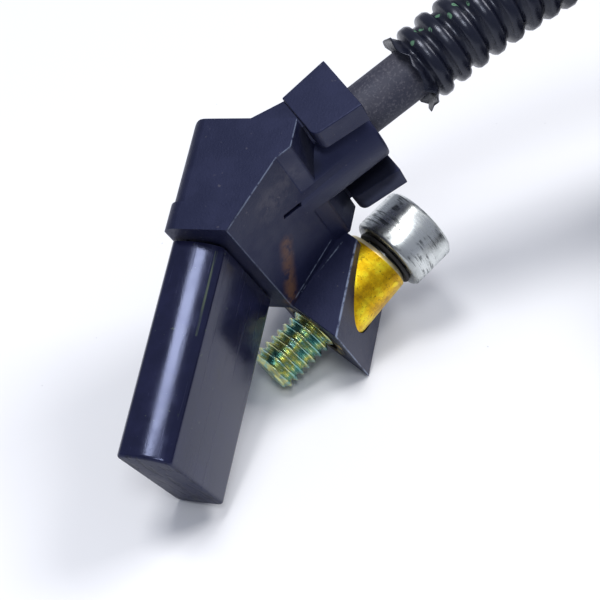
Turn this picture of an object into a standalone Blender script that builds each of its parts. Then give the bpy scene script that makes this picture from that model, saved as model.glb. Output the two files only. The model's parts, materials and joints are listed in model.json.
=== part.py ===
"""Engine speed sensor: an overmoulded inductive pickup with a flat nose, an oblique fixing lug with a
steel sleeve and cap bolt, and a lead in corrugated conduit that ends in a three-pin connector.

The body is drawn in its own frame: x along the nose's width, z up the nose from its tip, and the front
flat facing -y. One empty then lays it down as it lies on a table: on the nose tip, the lug and the coil."""

from math import acos, atan2, cos, pi, radians, sin, tan

import bmesh
import bpy
import numpy as np
from mathutils import Euler, Matrix, Vector

MM = 0.001
GAP = 0.3 * MM               # between pieces that touch
FINE_GAP = 0.15 * MM         # between the small pieces inside the nose

# How the body lies on the table
LIE = Euler((radians(-30.83), radians(61.43), radians(42.86)))

# Nose
NOSE_WIDTH, NOSE_THICKNESS, NOSE_LENGTH = 15.9 * MM, 5.9 * MM, 24.6 * MM
NOSE_BULGE, BULGE_ROUND = 0.2 * MM, 5.0 * MM     # how far its end faces swell, and how softly
NOSE_CORNER, TIP_ROUND = 0.9 * MM, 0.3 * MM
NOSE_WALL, TIP_WALL = 0.95 * MM, 1.2 * MM
ROOT_WIDTH, ROOT_THICKNESS, ROOT_TOP = 13.0 * MM, 3.4 * MM, 33.0 * MM
ROOT_BACK = 1.4 * MM         # from the middle plane to the root's back
ROOT_CORNER, ROOT_SIDE_WALL, ROOT_FACE_WALL = 0.8 * MM, 0.8 * MM, 0.7 * MM
CAVITY_ROOF = 1.4 * MM       # solid above the nose's cavity

# Body, as a section across the nose's width
BODY_HALF = 9.8 * MM         # half its width
BODY_BACK = 3.2 * MM         # from the nose's middle plane to the back
RIM_FRONT = 4.7 * MM         # from the same plane to the collar's front rim
BODY_FRONT = 9.7 * MM        # and to the upright front above the slope
BODY_TOP = 38.2 * MM         # above the tip
SLOPE_TOP = 33.3 * MM        # where the sloping front ends
SLOPE_DEPTH = 8.3 * MM
FRONT_FOOT = 34.7 * MM       # where the upright front starts
BAND_HEIGHT, BAND_PROUD = 3.3 * MM, 0.2 * MM
BACK_CORNER = 2.0 * MM

# Cable outlet: a round boss between two fork arms, all leaning forward by OUTLET_LEAN
OUTLET_LEAN = radians(45)
BOSS_RADIUS, BOSS_OFFSET = 4.85 * MM, 22.0 * MM
BOSS_START, BOSS_END = 27.0 * MM, 40.2 * MM
CABLE_RADIUS, CABLE_OFFSET = 3.06 * MM, 23.1 * MM
FORK_HALF, ARM_THICKNESS = 8.5 * MM, 3.1 * MM
ARM_START, ARM_END = 34.0 * MM, 40.1 * MM
ARM_MIDDLE, ARM_ROOT_DEPTH, ARM_TIP_DEPTH = 21.3 * MM, 6.8 * MM, 8.0 * MM
ARM_ROUND = 1.0 * MM
NECK_INSET = 0.4 * MM        # the neck's sides lie this far inside the arms
NECK_LAP, NECK_UNDER = 0.7 * MM, 2.2 * MM
NECK_FOOT, NECK_BACK = 29.5 * MM, 25.7 * MM

# Lug, sleeve and bolt
LUG_WIDTH, LUG_FRONT = 11.9 * MM, 10.85 * MM
LUG_BACK = 0.3 * MM          # in front of the nose's middle plane
LUG_STEP = 0.25 * MM         # its inner side lies inside the body's end by this
LUG_TOE = 21.15 * MM         # height of its lowest edge, above the tip
SLEEVE_LEAN = radians(59.3)  # of its axis, from straight ahead towards the nose's top
SLEEVE_RADIUS, SLEEVE_BORE = 4.44 * MM, 3.5 * MM
SLEEVE_AXIS_HEIGHT = 33.4 * MM       # where its axis leaves the lug's front face
SLEEVE_PROUD, SLEEVE_CHAMFER = 0.95 * MM, 0.5 * MM
SEAT_DISC_RADIUS, SEAT_DISC_THICK = 4.9 * MM, 0.8 * MM
HOLE_OVERRUN = 9.0 * MM      # how far the sleeve's hole is cut past the lug, each way
BOLT_LEAN, BOLT_YAW = radians(56.0), radians(3.9)
BOLT_SHIFT = Vector((0.67 * MM, -1.37 * MM, 1.30 * MM))     # of its head's underside, from SLEEVE_POINT
HEAD_RADIUS, HEAD_HEIGHT, HEAD_CHAMFER = 5.0 * MM, 6.0 * MM, 0.45 * MM
KEY_WIDTH, KEY_DEPTH = 5.0 * MM, 3.0 * MM
SHANK_RADIUS, THREAD_RADIUS, BOLT_LENGTH = 2.65 * MM, 2.95 * MM, 20.0 * MM
THREAD_LENGTH, THREAD_PITCH, THREAD_DEPTH = 9.0 * MM, 1.0 * MM, 0.5 * MM
TIP_CHAMFER = 0.8 * MM
RING_RADIUS, RING_THICK, RING_CLEAR = 3.9 * MM, 0.42 * MM, 0.12 * MM

# Pickup inside the nose
PICKUP_ROOM = 8.6 * MM       # from the pole piece's length to the nose's, for the magnet and the walls
POLE_WIDTH, POLE_THICKNESS, POLE_LENGTH = 5.0 * MM, 1.0 * MM, NOSE_LENGTH - PICKUP_ROOM
POLE_BARE = 2.0 * MM         # of the pole piece's length, outside the spool
SPOOL_WALL, SPOOL_LENGTH, FLANGE = 0.4 * MM, POLE_LENGTH - POLE_BARE, 0.9 * MM
SPOOL_WIDTH, SPOOL_THICKNESS, SPOOL_LIFT = 12.6 * MM, 3.6 * MM, 1.0 * MM
WINDING_WIDTH, WINDING_THICKNESS, WINDING_CORNER = 12.1 * MM, 3.3 * MM, 1.2 * MM
MAGNET_LENGTH, MAGNET_THICKNESS = 4.5 * MM, 2.4 * MM
TERMINAL_OFFSET, TERMINAL_WIDTH, TERMINAL_THICKNESS = 3.5 * MM, 0.9 * MM, 0.4 * MM
TERMINAL_END = 1.2 * MM      # below the root's top
CHAMBER_WIDTH, CHAMBER_DEPTH, CHAMBER_ROOF, CHAMBER_SHIFT = 9.0 * MM, 4.6 * MM, 1.6 * MM, 1.9 * MM
CORE_RADIUS = 0.6 * MM

# Lead: the conduit's start, its route down to the table, and the coil there
CONDUIT_RADIUS = 4.55 * MM
CONDUIT_START = 47.3 * MM    # along the outlet
LEAD_STEP = 11.0 * MM        # between the points of a tube
COIL_CENTRE_X, COIL_CENTRE_Y = 111.0 * MM, 13.7 * MM
COIL_INSIDE, COIL_OUTSIDE = 36.0 * MM, 55.3 * MM
COIL_CORNER = 0.9 * CONDUIT_RADIUS
TIE_THICK, TIE_WIDTH, TIE_CORNER = 0.9 * MM, 4.0 * MM, 4.0 * MM
TIE_HEAD_LENGTH, TIE_HEAD_DEPTH, TIE_HEAD_SHIFT = 5.0 * MM, 4.0 * MM, 1.2 * MM
LOW_TIE_ANGLE, HIGH_TIE_ANGLE = radians(62), radians(-60)
LEAD_ROUTE = ((20.9, 24.7, 36.8), (28.9, 28.7, 40.2), (39.6, 34.2, 42.4), (48.5, 38.7, 41.6),
              (57.5, 43.2, 38.3), (66.4, 47.7, 32.4), (75.3, 52.2, 24.6), (85.7, 57.5, 14.15))
TAIL_ROUTE = ((159.8, 0.6, 15.15), (152.4, -15.3, 15.15), (140.0, -27.7, 15.15), (124.1, -35.1, 15.15),
              (106.6, -36.6, 15.15), (89.7, -32.1, 15.15), (76.4, -23.1, 15.3), (68.2, -12.8, 16.0),
              (63.7, -2.0, 16.9), (62.2, 9.7, 17.35), (62.2, 14.2, 17.35), (62.2, 18.7, 17.35))

# Connector at the lead's end, lying on the coil
PLUG_LENGTH, PLUG_WIDTH, PLUG_HEIGHT = 27.0 * MM, 17.5 * MM, 13.5 * MM
PLUG_WALL, PLUG_CORNER, SOCKET_DEPTH = 1.5 * MM, 2.2 * MM, 16.0 * MM
RIB_WIDTH, RIB_HEIGHT, RIB_LENGTH = 1.6 * MM, 1.0 * MM, 9.0 * MM
CATCH_START, CATCH_END = 8.0 * MM, 2.5 * MM      # from the shell's open end
CATCH_HEIGHT, CATCH_HALF, CATCH_LAP = 2.0 * MM, 2.2 * MM, 0.3 * MM
BOOT_LENGTH, BOOT_WALL, BOOT_RIB = 9.0 * MM, 1.2 * MM, 0.4 * MM
BOOT_CLEAR = 0.5 * MM
LOCK_THICK = 3.0 * MM
PIN_COUNT, PIN_PITCH, PIN_WIDTH, PIN_THICKNESS = 3, 4.0 * MM, 1.5 * MM, 0.8 * MM
PIN_REACH, PIN_ROOT = 6.5 * MM, 4.0 * MM


def clear_scene():
    for obj in list(bpy.data.objects):
        bpy.data.objects.remove(obj, do_unlink=True)


def material(name, colour, roughness, metallic=0.0):
    made = bpy.data.materials.new(name)
    made.use_nodes = True
    shader = made.node_tree.nodes["Principled BSDF"]
    shader.inputs["Base Color"].default_value = (*colour, 1)
    shader.inputs["Roughness"].default_value = roughness
    shader.inputs["Metallic"].default_value = metallic
    made.diffuse_color = (*colour, 1)
    return made


def place(name, mesh, finish=None, parent=None, matrix=None, smooth=True):
    """Adds a bmesh to the scene as an object and frees it. With no finish it is a cutter."""
    bmesh.ops.recalc_face_normals(mesh, faces=mesh.faces)
    data = bpy.data.meshes.new(name)
    mesh.to_mesh(data)
    mesh.free()
    if smooth:
        data.shade_smooth()
        data.set_sharp_from_angle(angle=radians(35))
    obj = bpy.data.objects.new(name, data)
    bpy.context.scene.collection.objects.link(obj)
    obj.parent = parent
    if matrix is not None:
        obj.matrix_local = matrix
    if finish:
        data.materials.append(material(name, *finish))
    else:
        obj.hide_render, obj.display_type = True, "WIRE"
    return obj


def combine(target, tool, operation="DIFFERENCE"):
    made = target.modifiers.new(tool.name, "BOOLEAN")
    made.operation, made.object, made.solver = operation, tool, "EXACT"


def soften(obj, width, segments=2, angle=50):
    made = obj.modifiers.new("Bevel", "BEVEL")
    made.width, made.segments, made.limit_method = width, segments, "ANGLE"
    made.angle_limit = radians(angle)


def rounded(corners, steps=5):
    """The outline through (a, b, radius) corners, with an arc in each corner that has a radius."""
    outline = []
    for k, (a, b, radius) in enumerate(corners):
        here = Vector((a, b))
        before = (Vector(corners[k - 1][:2]) - here).normalized()
        after = (Vector(corners[(k + 1) % len(corners)][:2]) - here).normalized()
        if radius <= 0:
            outline.append(here)
            continue
        half = acos(max(-1, min(1, before.dot(after)))) / 2
        centre = here + (before + after).normalized() * radius / sin(half)
        start, end = here + before * radius / tan(half), here + after * radius / tan(half)
        first = atan2(*(start - centre).yx)
        turn = (atan2(*(end - centre).yx) - first + pi) % (2 * pi) - pi
        for j in range(steps + 1):
            angle = first + turn * j / steps
            outline.append(centre + radius * Vector((cos(angle), sin(angle))))
    return outline


def section(outline, x0, x1):
    """A solid with one (height, forward) outline all along x."""
    mesh = bmesh.new()
    ring = [mesh.verts.new((x0, -forward, height)) for height, forward in outline]
    face = mesh.faces.new(ring)
    lifted = bmesh.ops.extrude_face_region(mesh, geom=[face])
    moved = [v for v in lifted["geom"] if isinstance(v, bmesh.types.BMVert)]
    bmesh.ops.translate(mesh, verts=moved, vec=(x1 - x0, 0, 0))
    return mesh


def column(outline, z0, z1):
    """A solid with one (x, y) outline all along z."""
    mesh = bmesh.new()
    face = mesh.faces.new([mesh.verts.new((x, y, z0)) for x, y in outline])
    lifted = bmesh.ops.extrude_face_region(mesh, geom=[face])
    moved = [v for v in lifted["geom"] if isinstance(v, bmesh.types.BMVert)]
    bmesh.ops.translate(mesh, verts=moved, vec=(0, 0, z1 - z0))
    return mesh


def block(width, depth, z0, z1, corner=0.0, centre=(0.0, 0.0)):
    """An upright block, width along x and depth along y, with rounded corners."""
    cx, cy = centre
    sides = [(cx + a * width / 2, cy + b * depth / 2, corner)
             for a, b in ((-1, -1), (1, -1), (1, 1), (-1, 1))]
    return column(rounded(sides, 4), z0, z1)


def turned(profile, segments=40):
    """A solid of revolution about z from a closed (radius, height) profile."""
    mesh = bmesh.new()
    ring = [mesh.verts.new((radius, 0, height)) for radius, height in profile]
    edges = [mesh.edges.new((a, b)) for a, b in zip(ring, ring[1:] + ring[:1])
             if a.co.x > 0 or b.co.x > 0]
    bmesh.ops.spin(mesh, geom=ring + edges, cent=(0, 0, 0), axis=(0, 0, 1), angle=2 * pi,
                   steps=segments, use_merge=True, use_duplicate=False)
    bmesh.ops.remove_doubles(mesh, verts=mesh.verts, dist=1e-7)
    return mesh


def rod(radius, z0, z1, segments=40):
    return turned([(0, z0), (radius, z0), (radius, z1), (0, z1)], segments)


def aim(point, direction, side=Vector((1, 0, 0))):
    """The matrix that stands local z along direction, at point, with local x as near side as it can be."""
    z = direction.normalized()
    x = (side - z * side.dot(z)).normalized()
    return Matrix.Translation(point) @ Matrix((x, z.cross(x), z)).transposed().to_4x4()


def outlet(along, across, x=0.0):
    """A point of the body from its place along and across the cable outlet."""
    a, b = cos(OUTLET_LEAN), sin(OUTLET_LEAN)
    return Vector((x, -(along * a - across * b), along * b + across * a))


OUTLET_DIRECTION = outlet(1, 0)


def catmull(points, step):
    """Evenly spaced points on the smooth curve through the route's own points."""
    ends = [2 * points[0] - points[1], *points, 2 * points[-1] - points[-2]]
    fine = []
    for a, b, c, d in zip(ends, ends[1:], ends[2:], ends[3:]):
        for k in range(24):
            s = k / 24
            fine.append(0.5 * (2 * b + (c - a) * s + (2 * a - 5 * b + 4 * c - d) * s ** 2
                               + (3 * b - a - 3 * c + d) * s ** 3))
    fine.append(points[-1])
    run = np.cumsum([0] + [(q - p).length for p, q in zip(fine, fine[1:])])
    count = max(2, round(run[-1] / step) + 1)
    flat = np.array(fine)
    return [Vector([np.interp(at, run, flat[:, k]) for k in range(3)])
            for at in np.linspace(0, run[-1], count)]


def tube(name, points, radius, finish, parent=None, resolution=3):
    data = bpy.data.curves.new(name, "CURVE")
    data.dimensions, data.fill_mode = "3D", "FULL"
    data.bevel_depth, data.bevel_resolution, data.use_fill_caps = radius, resolution, True
    spline = data.splines.new("POLY")
    spline.points.add(len(points) - 1)
    for target, point in zip(spline.points, points):
        target.co = (*point, 1)
    obj = bpy.data.objects.new(name, data)
    bpy.context.scene.collection.objects.link(obj)
    obj.parent = parent
    data.materials.append(material(name, *finish))
    return obj


BLACK_MATT = ((0.018, 0.019, 0.024), 0.5)
BLACK_GLOSS = ((0.014, 0.015, 0.02), 0.28)
RUBBER = ((0.012, 0.012, 0.012), 0.7)
GREY_SHEATH = ((0.05, 0.048, 0.048), 0.65)
STEEL = ((0.62, 0.64, 0.63), 0.3, 1.0)
CONDUIT_FINISH = ((0.02, 0.021, 0.026), 0.45)
YELLOW_ZINC = ((0.72, 0.5, 0.05), 0.32, 1.0)
IRON = ((0.35, 0.35, 0.36), 0.45, 1.0)
COPPER = ((0.75, 0.32, 0.14), 0.35, 1.0)
TIN = ((0.7, 0.7, 0.68), 0.35, 1.0)
LOCK_RED, TIE_NYLON = ((0.5, 0.06, 0.03), 0.45), ((0.02, 0.02, 0.02), 0.4)
CORE_BROWN, CORE_BLUE = ((0.35, 0.16, 0.06), 0.5), ((0.1, 0.12, 0.35), 0.5)


# Nose and pickup

def nose_outline(inset=0.0):
    """The nose's plan: two flats, and two gently swelling ends."""
    half, thick = NOSE_WIDTH / 2 - inset, NOSE_THICKNESS / 2 - inset
    corner = max(NOSE_CORNER - inset, 0.2 * MM)
    return rounded([(s * (half - b * NOSE_BULGE), c * thick, corner if b else BULGE_ROUND)
                    for s, c, b in ((-1, 1, 1), (-1, 0, 0), (-1, -1, 1),
                                    (1, -1, 1), (1, 0, 0), (1, 1, 1))], 4)


def root_centre():
    """The y of the middle of the nose's root, which is set back in the body."""
    return ROOT_BACK - ROOT_THICKNESS / 2


def nose_capsule(body):
    capsule = place("nose_capsule", column(nose_outline(), 0, NOSE_LENGTH - GAP), BLACK_GLOSS, body)
    soften(capsule, TIP_ROUND)
    root = place("root_form", block(ROOT_WIDTH, ROOT_THICKNESS, NOSE_LENGTH - 1 * MM,
                                    ROOT_TOP, ROOT_CORNER, (0, root_centre())), None, body)
    combine(capsule, root, "UNION")
    cavity = place("nose_cavity", column(nose_outline(NOSE_WALL), TIP_WALL, NOSE_LENGTH - CAVITY_ROOF),
                   None, body)
    combine(capsule, cavity)
    mouth = place("root_mouth", block(ROOT_WIDTH - 2 * ROOT_SIDE_WALL, ROOT_THICKNESS - 2 * ROOT_FACE_WALL,
                                      NOSE_LENGTH - 2 * CAVITY_ROOF, ROOT_TOP + 1 * MM,
                                      0.3 * MM, (0, root_centre())), None, body)
    combine(capsule, mouth)


def pickup(body):
    """Pole piece in its wound spool, the magnet behind it, and two terminals."""
    foot = TIP_WALL + FINE_GAP
    place("pole_piece", block(POLE_WIDTH, POLE_THICKNESS, foot, foot + POLE_LENGTH, 0.3 * MM), IRON, body)

    wide, thick = POLE_WIDTH + 2 * FINE_GAP, POLE_THICKNESS + 2 * FINE_GAP
    core_wide, core_thick = wide + 2 * SPOOL_WALL, thick + 2 * SPOOL_WALL
    z0 = foot + SPOOL_LIFT
    spool = place("winding_spool", block(core_wide, core_thick, z0, z0 + SPOOL_LENGTH, 0.4 * MM),
                  ((0.35, 0.33, 0.3), 0.5), body)
    for k, z in enumerate((z0, z0 + SPOOL_LENGTH - FLANGE)):
        flange = place(f"flange_form_{k}", block(SPOOL_WIDTH, SPOOL_THICKNESS, z, z + FLANGE, 0.5 * MM),
                       None, body)
        combine(spool, flange, "UNION")
    bore = place("spool_bore", block(wide, thick, z0 - 1 * MM, z0 + SPOOL_LENGTH + 1 * MM, 0.3 * MM),
                 None, body)
    combine(spool, bore)

    winding = place("winding", block(WINDING_WIDTH, WINDING_THICKNESS, z0 + FLANGE + FINE_GAP,
                                     z0 + SPOOL_LENGTH - FLANGE - FINE_GAP, WINDING_CORNER), COPPER, body)
    inside = place("winding_bore", block(core_wide + 2 * FINE_GAP, core_thick + 2 * FINE_GAP, z0,
                                         z0 + SPOOL_LENGTH, 0.5 * MM), None, body)
    combine(winding, inside)

    top = foot + POLE_LENGTH + FINE_GAP
    place("magnet", block(POLE_WIDTH, MAGNET_THICKNESS, top, top + MAGNET_LENGTH, 0.2 * MM),
          ((0.12, 0.12, 0.13), 0.4, 1.0), body)
    for name, side in (("terminal_left", -1), ("terminal_right", 1)):
        place(name, block(TERMINAL_WIDTH, TERMINAL_THICKNESS, z0 + SPOOL_LENGTH + FINE_GAP,
                          ROOT_TOP - TERMINAL_END, 0.1 * MM,
                          (side * TERMINAL_OFFSET, root_centre())), TIN, body)


# Overmoulded body

def body_outline():
    return rounded([(NOSE_LENGTH, -BODY_BACK, 0.9 * MM), (NOSE_LENGTH, RIM_FRONT, 0.35 * MM),
                    (SLOPE_TOP, SLOPE_DEPTH, 0.6 * MM), (FRONT_FOOT, BODY_FRONT, 0.6 * MM),
                    (BODY_TOP, BODY_FRONT, 0.5 * MM), (BODY_TOP, -BODY_BACK, 1.2 * MM)], 3)


def overmould(body):
    """The main block with its collar band, neck, fork, boss and lug, all one moulding."""
    plan_half, front, back = BODY_HALF, -BODY_FRONT - 1 * MM, BODY_BACK
    block_form = section(body_outline(), -BODY_HALF, BODY_HALF)
    housing = place("housing", block_form, BLACK_MATT, body)
    corners = [(-plan_half, front, 0), (plan_half, front, 0), (plan_half, back, BACK_CORNER),
               (-plan_half, back, BACK_CORNER)]
    plan_form = column(rounded(corners, 6), NOSE_LENGTH - 1 * MM, BODY_TOP + 1 * MM)
    plan = place("plan_form", plan_form, None, body)
    combine(housing, plan, "INTERSECT")

    band_half, band_back = BODY_HALF + BAND_PROUD, BODY_BACK + BAND_PROUD
    band_outline = rounded([(NOSE_LENGTH, -band_back, 0.6 * MM), (NOSE_LENGTH, RIM_FRONT, 0.35 * MM),
                            (NOSE_LENGTH + BAND_HEIGHT, RIM_FRONT + 1.2 * MM, 0),
                            (NOSE_LENGTH + BAND_HEIGHT, -band_back, 0.15 * MM)], 3)
    band = place("band_form", section(band_outline, -band_half, BODY_HALF - 1 * MM), None, body)
    trim = place("band_plan", column(rounded([(-band_half, front, 0), (plan_half, front, 0),
                                              (plan_half, band_back, BACK_CORNER),
                                              (-band_half, band_back, BACK_CORNER)], 6),
                                     NOSE_LENGTH - 1 * MM, BODY_TOP), None, body)
    combine(band, trim, "INTERSECT")
    combine(housing, band, "UNION")

    neck_half = FORK_HALF - NECK_INSET
    low = ARM_MIDDLE - ARM_ROOT_DEPTH / 2
    high = ARM_MIDDLE + ARM_ROOT_DEPTH / 2
    neck_end = ARM_START + NECK_LAP
    neck_points = [outlet(neck_end, low + NECK_UNDER), outlet(neck_end, high - NECK_INSET / 2),
                   outlet(ARM_START, high - NECK_INSET / 4), outlet(NECK_FOOT, NECK_BACK),
                   outlet(BOSS_START, NECK_BACK - 3 * MM), outlet(BOSS_START, low + NECK_UNDER)]
    neck = place("neck_form", section([(p.z, -p.y) for p in neck_points], -neck_half, neck_half), None, body)
    combine(housing, neck, "UNION")

    spread = (ARM_TIP_DEPTH - ARM_ROOT_DEPTH) / 2
    corners = [(ARM_START, low, ARM_ROUND), (ARM_END, low - spread, 0),
               (ARM_END, high + spread, 0), (ARM_START, high, 0)]
    side_view = [outlet(along, across) for along, across in rounded(corners, 4)]
    for k, side in enumerate((-1, 1)):
        inner, outer = sorted((side * (FORK_HALF - ARM_THICKNESS), side * FORK_HALF))
        arm = place(f"arm_form_{k}", section([(p.z, -p.y) for p in side_view], inner, outer), None, body)
        soften(arm, 0.25 * MM, 2, 40)
        combine(housing, arm, "UNION")

    boss = place("boss_form", rod(BOSS_RADIUS, 0, BOSS_END - BOSS_START, 48), None, body,
                 aim(outlet(BOSS_START, BOSS_OFFSET), OUTLET_DIRECTION))
    soften(boss, 0.35 * MM, 2)
    combine(housing, boss, "UNION")

    lug = place("lug_form", section(lug_outline(), BODY_HALF - LUG_STEP, BODY_HALF - LUG_STEP + LUG_WIDTH),
                None, body)
    soften(lug, 0.2 * MM, 2, 25)
    combine(housing, lug, "UNION")

    pocket_width, pocket_depth = ROOT_WIDTH + 2 * GAP, ROOT_THICKNESS + 2 * GAP
    pocket = block(pocket_width, pocket_depth, NOSE_LENGTH - 1 * MM, ROOT_TOP + GAP,
                   ROOT_CORNER, (0, root_centre()))
    root = place("root_pocket", pocket, None, body)
    combine(housing, root)
    chamber = place("wire_chamber", block(CHAMBER_WIDTH, CHAMBER_DEPTH, ROOT_TOP - 1 * MM,
                                          BODY_TOP - CHAMBER_ROOF, 0.5 * MM, (0, -CHAMBER_SHIFT)), None, body)
    combine(housing, chamber)
    bore = place("outlet_bore", rod(CABLE_RADIUS + GAP, 0, BOSS_END - BOSS_START, 40), None, body,
                 aim(outlet(BOSS_START + 1 * MM, CABLE_OFFSET), OUTLET_DIRECTION))
    combine(housing, bore)
    below, above = -SEAT_DEPTH - HOLE_OVERRUN, HOLE_OVERRUN
    step = -SEAT_DEPTH + SEAT_DISC_THICK + GAP
    wide, narrow = SEAT_DISC_RADIUS + GAP, SLEEVE_RADIUS + GAP
    profile = [(0, below), (wide, below), (wide, step), (narrow, step), (narrow, above), (0, above)]
    hole = place("sleeve_hole", turned(profile, 48), None, body, aim(SLEEVE_POINT, SLEEVE_DIRECTION))
    combine(housing, hole)
    return housing


# Lug, sleeve and bolt

SLEEVE_DIRECTION = Vector((0, -cos(SLEEVE_LEAN), sin(SLEEVE_LEAN)))
SLEEVE_POINT = Vector((BODY_HALF - LUG_STEP + LUG_WIDTH / 2, -LUG_FRONT, SLEEVE_AXIS_HEIGHT))
SEAT_DEPTH = (SLEEVE_AXIS_HEIGHT - LUG_TOE) * sin(SLEEVE_LEAN)      # from SLEEVE_POINT down to the seat
BOLT_HEAD = SLEEVE_POINT + BOLT_SHIFT
BOLT_DIRECTION = Vector((sin(BOLT_YAW), -cos(BOLT_YAW) * cos(BOLT_LEAN), cos(BOLT_YAW) * sin(BOLT_LEAN)))


def lug_outline():
    """Seat face square to the sleeve at the foot, upright front, and a top square to the sleeve again."""
    run = LUG_FRONT - LUG_BACK
    top = SLEEVE_AXIS_HEIGHT + 0.15 * MM
    heel = LUG_TOE + run / tan(SLEEVE_LEAN)
    crown = min(top + run / tan(SLEEVE_LEAN), BODY_TOP - 0.6 * MM)
    crown_forward = LUG_FRONT - (crown - top) * tan(SLEEVE_LEAN)
    return [(LUG_TOE, LUG_FRONT), (top, LUG_FRONT), (crown, crown_forward), (crown, LUG_BACK),
            (heel, LUG_BACK)]


def mounting_sleeve(body):
    top = SLEEVE_PROUD
    seat, shoulder = -SEAT_DEPTH - 0.1 * MM, -SEAT_DEPTH + SEAT_DISC_THICK
    profile = [(SLEEVE_BORE, seat), (SEAT_DISC_RADIUS, seat), (SEAT_DISC_RADIUS, shoulder),
               (SLEEVE_RADIUS, shoulder), (SLEEVE_RADIUS, top - SLEEVE_CHAMFER),
               (SLEEVE_RADIUS - SLEEVE_CHAMFER, top), (SLEEVE_BORE, top)]
    place("mounting_sleeve", turned(profile, 48), YELLOW_ZINC, body, aim(SLEEVE_POINT, SLEEVE_DIRECTION))


def cap_bolt(body):
    """M6 x 20 socket head cap bolt, its thread's crests as a row of V grooves."""
    tip = -BOLT_LENGTH
    profile = [(0, tip), (THREAD_RADIUS - THREAD_DEPTH, tip)]
    z = tip + TIP_CHAMFER
    while z < tip + THREAD_LENGTH:
        profile += [(THREAD_RADIUS, z), (THREAD_RADIUS - THREAD_DEPTH, z + THREAD_PITCH / 2)]
        z += THREAD_PITCH
    profile += [(SHANK_RADIUS, z), (SHANK_RADIUS, 0), (HEAD_RADIUS, 0),
                (HEAD_RADIUS, HEAD_HEIGHT - HEAD_CHAMFER), (HEAD_RADIUS - HEAD_CHAMFER, HEAD_HEIGHT),
                (0, HEAD_HEIGHT)]
    at = aim(BOLT_HEAD, BOLT_DIRECTION)
    bolt = place("cap_bolt", turned(profile, 48), STEEL, body, at)
    corner = KEY_WIDTH / 2 / cos(pi / 6)
    key = place("key_socket", column([(corner * cos(k * pi / 3), corner * sin(k * pi / 3)) for k in range(6)],
                                     HEAD_HEIGHT - KEY_DEPTH, HEAD_HEIGHT + 1 * MM), None, body, at)
    combine(bolt, key)
    ring = [(SHANK_RADIUS + 0.3 * MM, -RING_CLEAR - RING_THICK), (RING_RADIUS, -RING_CLEAR - RING_THICK),
            (RING_RADIUS, -RING_CLEAR), (SHANK_RADIUS + 0.3 * MM, -RING_CLEAR)]
    place("captive_ring", turned(ring, 40), RUBBER, body, at)


# Lead

def cable_and_cores(body):
    start, end = BOSS_START + 2.0 * MM, CONDUIT_START - GAP
    run = [outlet(start + (end - start) * k / 3, CABLE_OFFSET) for k in range(4)]
    tube("cable_sheath", run, CABLE_RADIUS, GREY_SHEATH, body)

    foot = ROOT_TOP - TERMINAL_END + GAP
    mouth = outlet(start - GAP, CABLE_OFFSET)
    for name, side, colour in (("core_signal", -1, CORE_BROWN), ("core_return", 1, CORE_BLUE)):
        x = side * TERMINAL_OFFSET
        route = [Vector((x, root_centre(), foot)),
                 Vector((x * 0.95, root_centre() - 0.3 * MM, foot + 1.3 * MM)),
                 Vector((x * 0.6, (root_centre() + mouth.y) / 2, (foot + mouth.z) / 2 + 0.5 * MM)),
                 mouth + Vector((side * 1.3 * MM, 0, 0))]
        tube(name, catmull(route, 0.9 * MM), CORE_RADIUS, colour, body, 2)


def coil_top():
    return TIE_THICK + GAP + 2 * CONDUIT_RADIUS


def lead(body):
    """The conduit from its cut mouth, over and down to the coil, and its tail on top of the coil."""
    world = body.matrix_world
    mouth = world @ outlet(CONDUIT_START, CABLE_OFFSET)
    route = [mouth, *(Vector(point) * MM for point in LEAD_ROUTE)]
    tube("conduit", catmull(route, LEAD_STEP), CONDUIT_RADIUS, CONDUIT_FINISH)

    foot = TIE_THICK + GAP
    sides = [(COIL_INSIDE, foot, COIL_CORNER), (COIL_OUTSIDE, foot, COIL_CORNER),
             (COIL_OUTSIDE, coil_top(), COIL_CORNER), (COIL_INSIDE, coil_top(), COIL_CORNER)]
    centre = Matrix.Translation((COIL_CENTRE_X, COIL_CENTRE_Y, 0))
    place("conduit_coil", turned(rounded(sides, 3), 64), CONDUIT_FINISH, None, centre)

    tail = [Vector(point) * MM for point in TAIL_ROUTE]
    tube("conduit_tail", catmull(tail, LEAD_STEP), CONDUIT_RADIUS, CONDUIT_FINISH)

    coil_tie("coil_tie_1", centre @ Matrix.Rotation(LOW_TIE_ANGLE, 4, "Z"), coil_top() + GAP)
    coil_tie("coil_tie_2", centre @ Matrix.Rotation(HIGH_TIE_ANGLE, 4, "Z"),
             coil_top() + 2 * GAP + 2 * CONDUIT_RADIUS)


def coil_tie(name, at, high):
    """A closed band round the coil's turns up to that height, with its ratchet head outside."""
    inside, outside, low = COIL_INSIDE - GAP, COIL_OUTSIDE + GAP, TIE_THICK
    at = at @ Matrix.Rotation(pi / 2, 4, "X")

    def hoop(grow):
        corner = TIE_CORNER + grow
        return rounded([(inside - grow, low - grow, corner), (outside + grow, low - grow, corner),
                        (outside + grow, high + grow, corner), (inside - grow, high + grow, corner)], 4)

    tie = place(name, column(hoop(TIE_THICK), -TIE_WIDTH / 2, TIE_WIDTH / 2), TIE_NYLON, None, at)
    head_form = block(TIE_HEAD_DEPTH, TIE_HEAD_LENGTH, -TIE_HEAD_LENGTH / 2, TIE_HEAD_LENGTH / 2, 0.5 * MM,
                      (outside + TIE_THICK + TIE_HEAD_SHIFT, (low + high) / 2))
    head = place(name + "_head", head_form, None, None, at)
    combine(tie, head, "UNION")
    hole = place(name + "_inside", column(hoop(0), -TIE_WIDTH, TIE_WIDTH), None, None, at)
    combine(tie, hole)


# Connector

def plug_axis_height():
    return coil_top() + GAP + PLUG_HEIGHT / 2


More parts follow.
